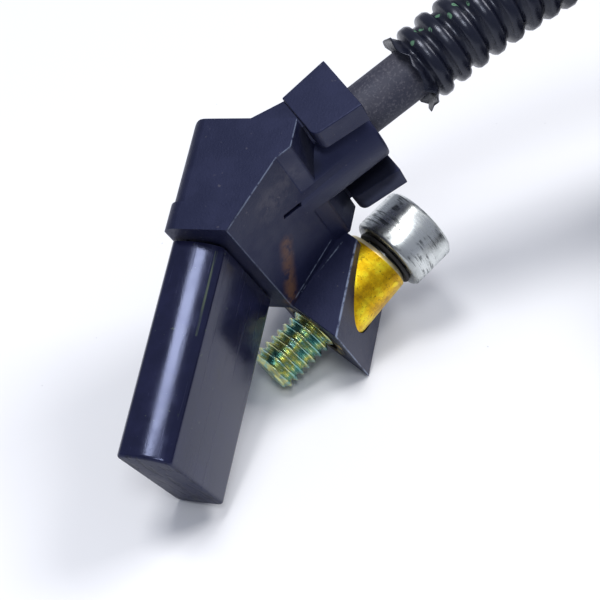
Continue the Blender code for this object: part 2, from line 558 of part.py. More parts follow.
def connector():
    """Shell with an open socket, the slotted lock at its floor, the pins through it, and the conduit boot."""
    x, y, _ = TAIL_ROUTE[-1]
    at = aim(Vector((x * MM, y * MM + GAP, plug_axis_height())), Vector((0, 1, 0)), Vector((-1, 0, 0)))
    shell = place("connector_shell", block(PLUG_WIDTH, PLUG_HEIGHT, 0, PLUG_LENGTH, PLUG_CORNER),
                  BLACK_MATT, None, at)
    soften(shell, 0.4 * MM)
    for k in (-1, 1):
        bar = block(RIB_WIDTH, RIB_HEIGHT * 2, PLUG_LENGTH - RIB_LENGTH, PLUG_LENGTH, 0,
                    (k * PLUG_WIDTH / 4, PLUG_HEIGHT / 2))
        rib = place(f"keying_rib_{k + 2}", bar, None, None, at)
        combine(shell, rib, "UNION")
    start, end = PLUG_LENGTH - CATCH_START, PLUG_LENGTH - CATCH_END
    ramp = [(start, 0), (start, CATCH_HEIGHT), (end, CATCH_LAP), (end, 0)]
    catch = place("catch_form", section(ramp, -CATCH_HALF, CATCH_HALF), None, None,
                  at @ Matrix.Translation((0, PLUG_HEIGHT / 2 - CATCH_LAP, 0)) @ Matrix.Rotation(pi, 4, "Z"))
    combine(shell, catch, "UNION")
    floor = PLUG_LENGTH - SOCKET_DEPTH
    socket = place("socket_form", block(PLUG_WIDTH - 2 * PLUG_WALL, PLUG_HEIGHT - 2 * PLUG_WALL, floor,
                                        PLUG_LENGTH + 1 * MM, PLUG_CORNER - PLUG_WALL), None, None, at)
    combine(shell, socket)

    slack = 2 * GAP
    lock = place("pin_lock", block(PLUG_WIDTH - 2 * PLUG_WALL - slack, PLUG_HEIGHT - 2 * PLUG_WALL - slack,
                                   floor + GAP, floor + GAP + LOCK_THICK, 0.6 * MM), LOCK_RED, None, at)
    for k in range(PIN_COUNT):
        across = (k - (PIN_COUNT - 1) / 2) * PIN_PITCH
        through = block(PIN_WIDTH + slack, PIN_THICKNESS + slack, floor - PIN_ROOT - GAP, PLUG_LENGTH, 0,
                        (across, 0))
        slot = place(f"pin_slot_{k + 1}", through, None, None, at)
        combine(shell, slot)
        combine(lock, slot)
        blade = block(PIN_WIDTH, PIN_THICKNESS, floor - PIN_ROOT, floor + LOCK_THICK + PIN_REACH, 0.2 * MM,
                      (across, 0))
        place(f"connector_pin_{k + 1}", blade, TIN, None, at)

    bore = CONDUIT_RADIUS + BOOT_CLEAR
    outer = bore + BOOT_WALL
    back = -GAP
    profile = [(bore, back - BOOT_LENGTH), (outer, back - BOOT_LENGTH), (outer, back - BOOT_LENGTH * 0.8)]
    for share in (0.8, 0.5):
        rib_start, rib_end, next_rib = (back - BOOT_LENGTH * (share - k * 0.15) for k in range(3))
        profile += [(outer + BOOT_RIB, rib_start), (outer + BOOT_RIB, rib_end),
                    (outer, rib_end), (outer, next_rib)]
    profile += [(outer, back), (bore, back)]
    place("conduit_boot", turned(profile, 40), RUBBER, None, at)


# Assembly

def lay_down(body, nodes):
    """Moves the body so that its lowest point is on z = 0 and its bounds are centred on the origin."""
    bpy.context.view_layer.update()
    graph = bpy.context.evaluated_depsgraph_get()
    corners = []
    for node in nodes:
        seen = node.evaluated_get(graph)
        mesh = seen.to_mesh()
        corners += [seen.matrix_world @ v.co for v in mesh.vertices]
        seen.to_mesh_clear()
    low, high = np.min(corners, 0), np.max(corners, 0)
    body.location = (-(low[0] + high[0]) / 2, -(low[1] + high[1]) / 2, -low[2])
    bpy.context.view_layer.update()


def main():
    clear_scene()
    body = bpy.data.objects.new("body_frame", None)
    bpy.context.scene.collection.objects.link(body)
    body.rotation_euler = LIE
    nose_capsule(body)
    pickup(body)
    overmould(body)
    mounting_sleeve(body)
    cap_bolt(body)
    rigid = [o for o in bpy.data.objects if o.type == "MESH" and not o.hide_render]
    lay_down(body, rigid)
    cable_and_cores(body)
    lead(body)
    connector()


main()
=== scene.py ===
import json

import bpy
from math import acos, atan2, cos, pi, radians, sin, tan
from mathutils import Euler, Matrix, Vector, noise

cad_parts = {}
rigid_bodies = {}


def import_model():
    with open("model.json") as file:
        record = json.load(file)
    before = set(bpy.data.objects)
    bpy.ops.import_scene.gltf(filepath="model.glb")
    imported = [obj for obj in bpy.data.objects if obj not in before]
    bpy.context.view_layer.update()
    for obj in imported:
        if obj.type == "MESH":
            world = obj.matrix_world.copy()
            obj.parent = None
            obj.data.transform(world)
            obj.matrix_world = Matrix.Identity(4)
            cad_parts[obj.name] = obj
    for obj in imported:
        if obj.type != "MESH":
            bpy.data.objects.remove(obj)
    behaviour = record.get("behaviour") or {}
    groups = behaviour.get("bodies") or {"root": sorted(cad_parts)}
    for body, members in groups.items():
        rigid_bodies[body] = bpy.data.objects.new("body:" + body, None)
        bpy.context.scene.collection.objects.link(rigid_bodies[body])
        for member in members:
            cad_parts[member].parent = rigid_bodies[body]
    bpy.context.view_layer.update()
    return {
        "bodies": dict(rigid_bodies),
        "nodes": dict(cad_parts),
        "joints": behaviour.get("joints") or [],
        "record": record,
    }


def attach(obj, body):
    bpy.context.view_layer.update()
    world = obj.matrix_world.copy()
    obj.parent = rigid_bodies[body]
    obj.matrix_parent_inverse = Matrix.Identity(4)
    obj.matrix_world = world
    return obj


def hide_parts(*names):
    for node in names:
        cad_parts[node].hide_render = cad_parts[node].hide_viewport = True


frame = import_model()


# Camera
# The sensor lies on a table and is seen from its nose's end, from about 45 degrees above,
# through a lens long enough to show it without much perspective.

MM = 0.001
CAMERA_PLACE, CAMERA_TILT = (0.37 * MM, -111.89 * MM, 122.53 * MM), radians(46.48)
LENS, FILM_WIDTH = 84, 36

bpy.ops.object.select_all(action="DESELECT")
bpy.ops.object.camera_add(location=CAMERA_PLACE, rotation=(CAMERA_TILT, 0, 0))
camera = bpy.context.object
camera.data.lens, camera.data.sensor_width = LENS, FILM_WIDTH
camera.data.clip_start = 0.01
bpy.context.scene.camera = camera


# Table and light
# A white table with a few specks of lint on its paper, lit like a product on a bench: soft lamps
# overhead, to the right and in front, and a cool room all round.

TABLE_WHITE, LINT_GREY = (0.81, 0.82, 0.85), (0.45, 0.45, 0.5)
ROOM_COLOUR, ROOM_STRENGTH = (0.78, 0.83, 1.0, 1), 0.36


class Link:
    """A shader value that Python can add, subtract and multiply."""

    def __init__(self, finish, socket):
        self.finish, self.socket = finish, socket

    def maths(self, operation, first, second):
        return self.finish.node("Math", {"operation": operation}, {0: first, 1: second})

    def __add__(self, other):
        return self.maths("ADD", self, other)

    def __sub__(self, other):
        return self.maths("SUBTRACT", self, other)

    def __rsub__(self, other):
        return self.maths("SUBTRACT", other, self)

    def __mul__(self, other):
        return self.maths("MULTIPLY", self, other)

    __radd__, __rmul__ = __add__, __mul__


class Finish:
    """A material built node by node, on the piece's own coordinates."""

    def __init__(self, name, colour, roughness, metallic=0.0, **constants):
        self.material = bpy.data.materials.new(name)
        self.material.use_nodes = True
        self.tree = self.material.node_tree
        self.shader = self.tree.nodes["Principled BSDF"]
        self.set({"Base Color": (*colour, 1), "Roughness": roughness, "Metallic": metallic, **constants})
        self.material.diffuse_color = (*colour, 1)
        self.place = self.node("TexCoord", {}, {}, "Object")

    def set(self, values):
        """Gives the shader's own sockets their values or links."""
        for name, value in values.items():
            self.feed(self.shader.inputs[name], value)

    def feed(self, socket, value):
        """Links a shader value to a socket, or sets a plain value on it."""
        if isinstance(value, Link):
            self.tree.links.new(value.socket, socket)
        else:
            socket.default_value = value

    def node(self, kind, settings, values, output=0):
        """Adds a node, with its settings and its sockets' values or links, and gives one of its outputs."""
        made = self.tree.nodes.new("ShaderNode" + kind)
        for name, value in settings.items():
            if name == "stops":
                ramp = made.color_ramp
                while len(ramp.elements) < len(value):
                    ramp.elements.new(0.5)
                for element, (at, colour) in zip(ramp.elements, value):
                    element.position, element.color = at, (*colour, 1)
            else:
                setattr(made, name, value)
        for name, value in values.items():
            self.feed(made.inputs[name], value)
        return Link(self, made.outputs[output])

    def noise(self, scale, detail=4, roughness=0.6, stretch=(1, 1, 1), frame=None):
        """Soft noise with `scale` lumps a metre. A small number in `stretch` draws it out along that axis of
        the piece's own frame."""
        back = frame.inverted() if frame else Matrix()
        turned = self.node("Mapping", {}, {"Vector": self.place, "Location": tuple(back.translation),
                                           "Rotation": tuple(back.to_euler())})
        drawn = self.node("Mapping", {}, {"Vector": turned, "Scale": stretch})
        return self.node("TexNoise", {}, {"Vector": drawn, "Scale": scale, "Detail": detail,
                                          "Roughness": roughness})

    def mark(self, first, last, width, soft=0.6):
        """1 along the line between two points, fading out at `width` millimetres from it."""
        run = last - first
        moved = self.node("VectorMath", {"operation": "SUBTRACT"}, {0: self.place, 1: tuple(first)})
        share = self.node("VectorMath", {"operation": "DOT_PRODUCT"},
                          {0: moved, 1: tuple(run / max(run.length_squared, 1e-12))}, "Value")
        nearest = self.node("VectorMath", {"operation": "SCALE"},
                            {0: tuple(run), "Scale": self.node("Clamp", {}, {"Value": share})})
        away = self.node("VectorMath", {"operation": "DISTANCE"}, {0: moved, 1: nearest}, "Value")
        return self.step(away, width * (1 - soft) * MM, width * MM, 1.0, 0.0)

    def marks(self, lines, width, soft=0.6):
        """Where any of several marks is."""
        found = None
        for first, last in lines:
            mark = self.mark(first, last, width, soft)
            found = self.node("Math", {"operation": "MAXIMUM"}, {0: found, 1: mark}) if found else mark
        return found

    def step(self, value, low, high, to_low=0.0, to_high=1.0):
        """A smooth rise from to_low to to_high as value goes from low to high."""
        return self.node("MapRange", {"interpolation_type": "SMOOTHSTEP"},
                         {"Value": value, "From Min": low, "From Max": high,
                          "To Min": to_low, "To Max": to_high})

    def mix(self, factor, first, second):
        """Two colours, by a factor from 0 to 1. The node's own are its sockets 6 and 7 and its output 2."""
        first, second = ((*c, 1) if isinstance(c, tuple) and len(c) == 3 else c for c in (first, second))
        return self.node("Mix", {"data_type": "RGBA"}, {"Factor": factor, 6: first, 7: second}, 2)

    def along(self, axis, origin):
        """How far, in millimetres, each point lies along an axis from an origin, both in the row frame."""
        moved = self.node("VectorMath", {"operation": "SUBTRACT"}, {0: self.place, 1: tuple(origin)})
        return self.node("VectorMath", {"operation": "DOT_PRODUCT"},
                         {0: moved, 1: tuple(Vector(axis) * 1000)}, "Value")

    def bump(self, height, distance, strength):
        """Fine relief in the surface, `distance` metres for a height of 1."""
        relief = self.node("Bump", {}, {"Height": height, "Distance": distance, "Strength": strength})
        self.set({"Normal": relief})


bpy.ops.mesh.primitive_plane_add(size=3, location=(0, 0, 0))
table = bpy.context.object
table.name = "table"
paper = Finish("white_table", TABLE_WHITE, 0.6)
lint = paper.step(paper.noise(700, 2), 0.765, 0.79)            # only the noise's few highest peaks
paper.set({"Base Color": paper.mix(lint, TABLE_WHITE, LINT_GREY)})
table.data.materials.append(paper.material)

for name, place, size, power, tint in (
        ("overhead_light", (-0.17, -0.02, 0.73), 0.22, 2.9, (1.0, 0.99, 0.98)),
        ("right_light", (0.42, 0.24, 0.60), 0.30, 2.5, (1.0, 0.98, 0.96)),
        ("front_light", (0.00, -0.37, 0.70), 0.18, 1.5, (0.96, 0.98, 1.0))):
    bpy.ops.object.light_add(type="AREA", location=place)
    lamp = bpy.context.object
    lamp.name = name
    lamp.rotation_euler = Vector(place).to_track_quat("Z", "Y").to_euler()
    lamp.data.size, lamp.data.energy, lamp.data.color = size, power, tint

world = bpy.data.worlds.new("room")
world.use_nodes = True
room = world.node_tree.nodes["Background"].inputs
room["Color"].default_value, room["Strength"].default_value = ROOM_COLOUR, ROOM_STRENGTH
bpy.context.scene.world = world
bpy.context.scene.view_settings.view_transform = "Standard"


# Conduit
# The lead's cover: black nylon tube, blown into ribs in a corrugator and cut by hand at its mouth.
# It rises from the sensor, comes down in one long bend and is wound into a coil of nearly two turns.

SENSOR_PLACE = Vector((-13.13, -18.55, 7.637)) * MM
SENSOR_TURN = Euler((radians(-30.83), radians(61.43), radians(42.86)))
SENSOR = Matrix.Translation(SENSOR_PLACE) @ SENSOR_TURN.to_matrix().to_4x4()
OUTLET_LEAN = radians(45)
CABLE_ACROSS, MOUTH_ALONG = 23.1, 47.3             # of the cable's axis and the mouth, in the outlet's terms

CONDUIT_RADIUS, GROOVE_RADIUS, CONDUIT_BORE = 4.55 * MM, 3.75 * MM, 3.45 * MM
RIB_PITCH, MOUTH_DEPTH, LIP_DEPTH = 2.54 * MM, 9.0 * MM, 1.1 * MM
RIB_RISE = CONDUIT_RADIUS - GROOVE_RADIUS
RAGGED, TORN = 0.45, 0.9                           # how uneven the cut is, across and along the tube
SIDES, STEPS_A_RIB = 28, 50

BEND = ((20.9, 24.6, 36.9), (30.0, 29.3, 40.6), (39.6, 34.2, 42.15), (48.8, 38.9, 41.2), (57.6, 43.3, 37.8),
        (65.7, 47.4, 32.6), (73.3, 51.2, 26.1), (80.6, 54.9, 19.1))
COIL_X, COIL_Y, COIL_LOW, COIL_HIGH = 111.0, 13.7, 5.75, 15.15
OUTER_TURN, INNER_TURN, FIRST_ANGLE = 50.5, 40.9, 117
WOUND, WINDING_STEP = 606, 9                       # in degrees, as the next line's ranges are
TUCKS_IN, MOVES_OUT, CLIMBS = (255, 350), (436, 508), (410, 470)
LANDING_HEIGHT, LANDING_TURN = 6.6, 22
TAIL_X, TAIL_Y, TAIL_RADIUS = 107.2, 9.7, 45
TAIL = ((-142, 15.4), (-152, 15.9), (-162, 16.5), (-172, 17.0), (-182, 17.3))      # angles and heights
CONNECTOR_END = (62.2, 18.7, 17.35)

NYLON_BLACK, DUST_GREY, PAINT_GREEN = (0.005, 0.006, 0.014), (0.03, 0.028, 0.03), (0.10, 0.22, 0.13)
PAINT_SPECKS = (                                   # points of the laid-down sensor, and how each runs on
    ((-4.35, -18.54, 50.91), (0.5, 0.2, 0)), ((-4.07, -18.6, 52.67), (0.2, 0.5, 0)),
    ((-3.51, -18.9, 53.31), (0.3, 0, 0)), ((-4.26, -20.29, 52.61), (0.2, 0.4, 0)),
    ((-3.48, -20.46, 54.98), (0.4, 0, 0)), ((-4.23, -22.28, 54.38), (0, 0.4, 0)),
    ((-4.27, -22.48, 55.93), (0.5, 0.1, 0)), ((-3.86, -23.92, 56.28), (0.2, 0.2, 0)))


def laid(x, y, z):
    """A point of the laid-down sensor, in millimetres along its width, its depth and up from its tip."""
    return SENSOR @ (Vector((x, y, z)) * MM)


def outlet(along, across):
    """A point in millimetres along and across the sensor's cable outlet, which leans 45 degrees."""
    slant = cos(OUTLET_LEAN)
    return laid(0, -(along - across) * slant, (along + across) * slant)


def ease(value, start, end):
    """From 0 to 1 as value goes from start to end, with a soft start and end."""
    share = max(0, min(1, (value - start) / (end - start)))
    return share * share * (3 - 2 * share)


def coil_point(turned):
    """A point of the coil after that many degrees of winding, clockwise from above. The first turn lands on
    the table and tucks in beside its own start, and the second climbs on top of it."""
    inward = ease(turned, *TUCKS_IN) - ease(turned, *MOVES_OUT)
    landing = LANDING_HEIGHT * max(0, 1 - turned / LANDING_TURN) ** 2
    height = COIL_LOW + landing + (COIL_HIGH - COIL_LOW) * ease(turned, *CLIMBS)
    radius = OUTER_TURN + (INNER_TURN - OUTER_TURN) * inward
    angle = radians(FIRST_ANGLE - turned)
    return Vector((COIL_X + radius * cos(angle), COIL_Y + radius * sin(angle), height)) * MM


def smooth_route(points, step):
    """Evenly spaced points on a smooth curve through the route's own points."""
    ends = [2 * points[0] - points[1], *points, 2 * points[-1] - points[-2]]
    fine = []
    for a, b, c, d in zip(ends, ends[1:], ends[2:], ends[3:]):
        for k in range(20):
            s = k / 20
            fine.append(0.5 * (2 * b + (c - a) * s + (2 * a - 5 * b + 4 * c - d) * s ** 2
                               + (3 * b - a - 3 * c + d) * s ** 3))
    fine.append(points[-1])
    route, left = [fine[0]], step
    for a, b in zip(fine, fine[1:]):
        span = (b - a).length
        while span > 0 and left <= span:
            route.append(a.lerp(b, left / span))
            left += step
        left -= span
    return route


mouth = outlet(MOUTH_ALONG, CABLE_ACROSS)
outward = (outlet(MOUTH_ALONG + 1, CABLE_ACROSS) - mouth).normalized()
conduit_route = [mouth] + [Vector(point) * MM for point in BEND]
conduit_route += [coil_point(turned) for turned in range(0, WOUND, WINDING_STEP)]
for angle, height in TAIL:
    right, away = TAIL_RADIUS * cos(radians(angle)), TAIL_RADIUS * sin(radians(angle))
    conduit_route.append(Vector((TAIL_X + right, TAIL_Y + away, height)) * MM)
conduit_route.append(Vector(CONNECTOR_END) * MM)

step = RIB_PITCH / STEPS_A_RIB
centre_line = smooth_route(conduit_route, step)
length = (len(centre_line) - 1) * step

# A rib's corners are shares of its pitch and of its rise. A row of the profile says how far from the mouth
# it is, its radius, and how much of a crest it is; the first ones go round the cut lip, from inside.
RIB = ((0.0, 0), (0.13, 0), (0.22, 0.75), (0.34, 1), (0.62, 1), (0.76, 0.75), (0.87, 0))
profile = [(MOUTH_DEPTH, CONDUIT_BORE, 0.1), (LIP_DEPTH, CONDUIT_BORE, 0.1),
           (0.35 * MM, CONDUIT_RADIUS - 0.2 * MM, 0.6), (0.0, CONDUIT_RADIUS + 0.15 * MM, 1.0),
           (0.22 * MM, CONDUIT_RADIUS + 0.1 * MM, 1.0), (0.75 * MM, GROOVE_RADIUS + 0.25 * MM, 0.2)]
LIP_ROWS = range(1, 5)
ribs = int(length / RIB_PITCH) - 1
for k in range(ribs):
    profile += [((k + share) * RIB_PITCH + LIP_DEPTH, GROOVE_RADIUS + RIB_RISE * rise, rise)
                for share, rise in RIB]

corners, faces, crest = [], [], []
side = Vector((0, 0, 1)).cross(outward).normalized()
frames = []
for k, point in enumerate(centre_line):
    ahead = (centre_line[min(k + 1, len(centre_line) - 1)] - centre_line[max(k - 1, 0)]).normalized()
    side = (side - ahead * side.dot(ahead)).normalized()
    frames.append((point, side.copy(), ahead.cross(side)))
for row, (at, radius, rise) in enumerate(profile):
    point, across, over = frames[min(round(at / step), len(frames) - 1)]
    for k in range(SIDES):
        angle = 2 * pi * k / SIDES
        ragged, torn = 0.0, Vector()
        if row in LIP_ROWS:
            ragged = RAGGED * MM * noise.noise(Vector((cos(angle) * 2.6, sin(angle) * 2.6, 4.1)))
            torn = outward * TORN * MM * noise.noise(Vector((cos(angle) * 3.7, sin(angle) * 3.7, 8.3)))
        corners.append(point + torn + (across * cos(angle) + over * sin(angle)) * (radius + ragged))
        crest.append(rise)
    if row:
        low = (row - 1) * SIDES
        faces += [(low + k, low + (k + 1) % SIDES, low + SIDES + (k + 1) % SIDES, low + SIDES + k)
                  for k in range(SIDES)]
faces.append(tuple(reversed(range(SIDES))))
faces.append(tuple(range(len(corners) - SIDES, len(corners))))
mesh = bpy.data.meshes.new("corrugated_conduit")
mesh.from_pydata(corners, [], faces)
mesh.attributes.new("crest", "FLOAT", "POINT").data.foreach_set("value", crest)
conduit = bpy.data.objects.new("corrugated_conduit", mesh)
bpy.context.scene.collection.objects.link(conduit)
bpy.context.view_layer.objects.active = conduit
conduit.select_set(True)
bpy.ops.object.mode_set(mode="EDIT")
bpy.ops.mesh.select_all(action="SELECT")
bpy.ops.mesh.normals_make_consistent(inside=False)
bpy.ops.object.mode_set(mode="OBJECT")
mesh.shade_smooth()

nylon = Finish("black_nylon", (0.006, 0.007, 0.016), 0.34, **{"Specular Tint": (0.8, 0.85, 1.0, 1)})
worn = nylon.step(nylon.noise(420, 5), 0.45, 0.7)
crests = nylon.node("Attribute", {"attribute_name": "crest"}, {}, "Fac")
dust = nylon.step(nylon.noise(900, 6, 0.7), 0.5, 0.75) * (1 - crests)
paint = nylon.marks([(laid(*spot), laid(*spot) + Vector(run) * MM) for spot, run in PAINT_SPECKS], 0.34, 0.4)
flaked = paint * nylon.step(nylon.noise(1900, 3), 0.4, 0.5)
black = nylon.mix(dust * 0.6, NYLON_BLACK, DUST_GREY)
nylon.set({"Base Color": nylon.mix(flaked, black, PAINT_GREEN),
           "Roughness": 0.26 + worn * 0.16 + dust * 0.2})
nylon.bump(nylon.noise(2600, 3), 0.00003, 0.5)
conduit.data.materials.append(nylon.material)
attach(conduit, "root")
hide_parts("conduit", "conduit_coil", "conduit_tail")


# Cable
# The sensor's own lead inside the conduit: grey rubber sheath over the cores, moulded into the boss.
# Seven millimetres of it show, dull and dusty.

CABLE_RADIUS = 3.05 * MM
CABLE_START, CABLE_INSIDE = 29.2, 7                # along the outlet, and on past the conduit's mouth
SHEATH_GREY, SHEATH_DUST = (0.026, 0.027, 0.044), (0.12, 0.115, 0.135)


def rod(sides, radius, depth):
    """A cylinder about the origin."""
    bpy.ops.object.select_all(action="DESELECT")
    bpy.ops.mesh.primitive_cylinder_add(vertices=sides, radius=radius, depth=depth)
    return bpy.context.object


cable = rod(48, CABLE_RADIUS, 1)
cable.name = "cable"
start, end = outlet(CABLE_START, CABLE_ACROSS), mouth + outward * CABLE_INSIDE * MM
axis_turn = outward.to_track_quat("Z", "X").to_matrix().to_4x4()
cable.data.transform(Matrix.Translation((start + end) / 2) @ axis_turn @ Matrix.Diagonal(
    (1, 1, (end - start).length, 1)))
cable.data.shade_smooth()
cable.data.set_sharp_from_angle(angle=radians(40))

rubber = Finish("grey_sheath", (0.04, 0.038, 0.048), 0.62, **{"Specular Tint": (0.8, 0.85, 1.0, 1)})
speck = rubber.step(rubber.noise(3200, 4, 0.7), 0.50, 0.66)
film = rubber.step(rubber.noise(240, 4), 0.4, 0.7)
rubber.set({"Base Color": rubber.mix(speck * 0.6 + film * 0.25, SHEATH_GREY, SHEATH_DUST),
            "Roughness": 0.55 + film * 0.15})
rubber.bump(rubber.noise(4200, 4), 0.00006, 0.6)
cable.data.materials.append(rubber.material)
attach(cable, "root")
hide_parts("cable_sheath")


# Nose
# The sensing end: glass-filled nylon, moulded black and glossy round the pickup. It has two flats, ends
# that swell a little, a long soft corner by the near flat, a slight draft, and rub marks from its bore.

NOSE_HALF, NOSE_BULGE, NOSE_DEEP = 7.75 * MM, 0.18 * MM, 2.95 * MM
SWELL_BEND, SWELL_RADIUS = -0.35 * MM, 7.6 * MM
SHOULDER, SHOULDER_RADIUS = 1.2 * MM, 1.25 * MM
NOSE_CORNER, NOSE_LENGTH, NOSE_DRAFT = 0.95 * MM, 24.3 * MM, 0.992
TIP_BEVEL, TIP_LOOP = 0.3 * MM, 0.5 * MM
NEAR_FLAT = -2.94                                  # as a depth of the laid-down sensor, in millimetres
GLOSS_BLACK, GLOSS_HAZE, ARC_BLACK = (0.008, 0.009, 0.026), (0.013, 0.014, 0.046), (0.002, 0.002, 0.008)
GLINT_AND_FLECK_GREEN = (0.2, 0.26, 0.13)


def rounded(corners, steps):
    """The outline through (a, b, radius) corners, with an arc in each corner that has a radius."""
    outline = []
    for k, (a, b, radius) in enumerate(corners):
        here = Vector((a, b))
        before = (Vector(corners[k - 1][:2]) - here).normalized()
        after = (Vector(corners[(k + 1) % len(corners)][:2]) - here).normalized()
        if radius <= 0:
            outline.append(here)
            continue
        half = acos(max(-1, min(1, before.dot(after)))) / 2
        centre = here + (before + after).normalized() * radius / sin(half)
        start, end = here + before * radius / tan(half), here + after * radius / tan(half)
        first = atan2(*(start - centre).yx)
        turn = (atan2(*(end - centre).yx) - first + pi) % (2 * pi) - pi
        for j in range(steps + 1):
            angle = first + turn * j / steps
            outline.append(centre + radius * Vector((cos(angle), sin(angle))))
    return outline


def edit(piece, kind, test):
    """Goes into edit mode with those faces, edges or corners selected whose middle passes the test."""
    bpy.ops.object.select_all(action="DESELECT")
    bpy.context.view_layer.objects.active = piece
    piece.select_set(True)
    bpy.ops.object.mode_set(mode="EDIT")
    bpy.ops.mesh.select_mode(type=kind)
    bpy.ops.mesh.select_all(action="DESELECT")
    bpy.ops.object.mode_set(mode="OBJECT")
    points = [corner.co for corner in piece.data.vertices]
    if kind == "VERT":
        for corner in piece.data.vertices:
            corner.select = bool(test(corner.co))
    else:
        for item in piece.data.polygons if kind == "FACE" else piece.data.edges:
            item.select = bool(test(sum((points[i] for i in item.vertices), Vector()) / len(item.vertices)))
    bpy.ops.object.mode_set(mode="EDIT")


def leave_edit():
    """Goes back to object mode, where the mesh has what was done."""
    bpy.ops.object.mode_set(mode="OBJECT")


def prism(name, outline, start, end):
    """A filled circle with as many corners as the outline, drawn out to it and extruded from start to end."""
    bpy.ops.object.select_all(action="DESELECT")
    bpy.ops.mesh.primitive_circle_add(vertices=len(outline), fill_type="NGON")
    piece = bpy.context.object
    piece.name = name
    for corner, (x, y) in zip(piece.data.vertices, outline):
        corner.co = (x, y, start)
    edit(piece, "FACE", lambda middle: True)
    bpy.ops.mesh.extrude_region_move(TRANSFORM_OT_translate={"value": (0, 0, end - start)})
    bpy.ops.mesh.select_all(action="SELECT")
    bpy.ops.mesh.normals_make_consistent(inside=False)
    leave_edit()
    return piece


def smooth(piece, angle=35):
    """Shades a piece smooth, with the edges sharper than the angle kept sharp."""
    piece.data.shade_smooth()
    piece.data.set_sharp_from_angle(angle=radians(angle))


plan = rounded([(-NOSE_HALF, NOSE_DEEP, NOSE_CORNER), (-NOSE_HALF, SWELL_BEND, SWELL_RADIUS),
                (-NOSE_HALF + SHOULDER, -NOSE_DEEP, SHOULDER_RADIUS), (NOSE_HALF, -NOSE_DEEP, NOSE_CORNER),
                (NOSE_HALF + NOSE_BULGE, 0, NOSE_CORNER), (NOSE_HALF, NOSE_DEEP, NOSE_CORNER)], 8)
nose = prism("nose", plan, 0, NOSE_LENGTH)
edit(nose, "VERT", lambda at: at.z < 0.1 * MM)
bpy.ops.transform.resize(value=(NOSE_DRAFT, NOSE_DRAFT, 1), center_override=(0, 0, 0))
leave_edit()
edit(nose, "EDGE", lambda at: at.z < 0.1 * MM)
bpy.ops.mesh.bevel(offset=TIP_BEVEL, segments=3, affect="EDGES")
leave_edit()
edit(nose, "FACE", lambda at: True)                # a loop past the bevel keeps its shading off the flats
bpy.ops.mesh.bisect(plane_co=(0, 0, TIP_LOOP), plane_no=(0, 0, 1))
leave_edit()
smooth(nose)
nose.data.transform(SENSOR)

gloss = Finish("glossy_nylon", (0.008, 0.009, 0.03), 0.3, **{
    "Specular IOR Level": 0.44, "Specular Tint": (0.56, 0.64, 1.0, 1)})
up = gloss.along(SENSOR.to_3x3() @ Vector((0, 0, 1)), laid(0, 0, 0))
haze = gloss.step(gloss.noise(300, 5, 0.65), 0.4, 0.72)
drawn = gloss.noise(2200, 4, 0.6, (1, 1, 0.03), SENSOR)
rubbed = gloss.step(drawn, 0.56, 0.68)
tip_face = gloss.step(up, 0.05, 0.3, 1.0, 0.0)
arcs = gloss.step(gloss.noise(520, 2, 0.5, (0.5, 2.2, 1), SENSOR), 0.5, 0.6) * tip_face
spots = gloss.marks([(laid(x, NEAR_FLAT, z), laid(to_x, NEAR_FLAT, to_z)) for x, z, to_x, to_z in (
    (-0.99, 12.4, -1.0, 12.2), (-0.67, 11.83, -0.5, 11.7), (3.2, 6.5, 3.3, 6.5))], 0.32)
# A painted yellow-green highlight along the long soft corner by the near flat, broken up along its length;
# the same green also colours random flecks.
green = gloss.mark(laid(-6.79, -2.42, 23.6), laid(-6.79, -2.46, 14.0), 0.2, 0.9)
green = green * gloss.step(drawn, 0.42, 0.60)
fleck = gloss.step(gloss.noise(1500, 2), 0.70, 0.76)
black = gloss.mix(haze * 0.5, GLOSS_BLACK, GLOSS_HAZE)
black = gloss.mix(arcs * 0.8 + spots * 0.9, black, ARC_BLACK)
gloss.set({"Base Color": gloss.mix(green * 0.6 + fleck * 0.2, black, GLINT_AND_FLECK_GREEN),
           "Roughness": 0.13 + haze * 0.08 + rubbed * 0.16 + tip_face * 0.36})
gloss.bump(gloss.noise(5200, 3) * 0.5 + drawn * 0.35 - arcs * 3, 0.00002, 0.6)
nose.data.materials.append(gloss.material)
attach(nose, "root")
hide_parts("nose_capsule")


# Body
# One overmoulding of black nylon joins everything: the block round the nose's root, the neck and fork that
# guard the cable, the boss the cable leaves by, and the lug for the bolt. It is duller than the nose, with
# pale flash along its edges, worn corners on the lug and a rust stain beside it.

BODY_HALF, BODY_BACK, RIM_FRONT, BODY_FRONT = 9.8 * MM, 3.2 * MM, 4.7 * MM, 9.7 * MM
BODY_FOOT, BODY_TOP, BODY_CORNER = 24.6 * MM, 38.2 * MM, 2 * MM
BAND_TOP, BAND_PROUD = 27.9 * MM, 0.2 * MM
NECK_HALF, ARM_INNER, ARM_OUTER = 8.1 * MM, 5.4 * MM, 8.5 * MM
NECK_SIDE = [(34.7, 20.1), (34.7, 24.5), (34.0, 24.6), (29.5, 25.7), (27.0, 22.7), (27.0, 20.1)]
ARM_SIDE = [(34.0, 17.9, 1.0), (40.1, 17.3, 0), (40.1, 25.3, 0), (34.0, 24.7, 0)]
BOSS_RADIUS, BOSS_LENGTH, BOSS_EDGE = 4.85 * MM, 13.2 * MM, 0.4 * MM
BOSS_ALONG, BOSS_ACROSS = 33.6, 22.0
CABLE_HOLE_RADIUS, CABLE_HOLE_DEPTH, CABLE_HOLE_ALONG = 3.3 * MM, 12 * MM, 36.0
LUG_INNER, LUG_OUTER, LUG_FOOT, LUG_FACE = 9.55, 21.47, 21.1, 10.88
LUG_SIDE = [(LUG_FOOT, LUG_FACE), (33.55, LUG_FACE), (37.6, 4.06), (37.6, 0.3), (27.38, 0.3)]
SLEEVE_LEAN, SLEEVE_TOP, SLEEVE_HOLE_RADIUS = radians(59.3), 33.4, 4.6 * MM
STROKE_PLACE, STROKE_SIZE = Vector((-1.65, -7.55, 31.3)) * MM, (0.55 * MM, 2.9 * MM, 0.9 * MM)
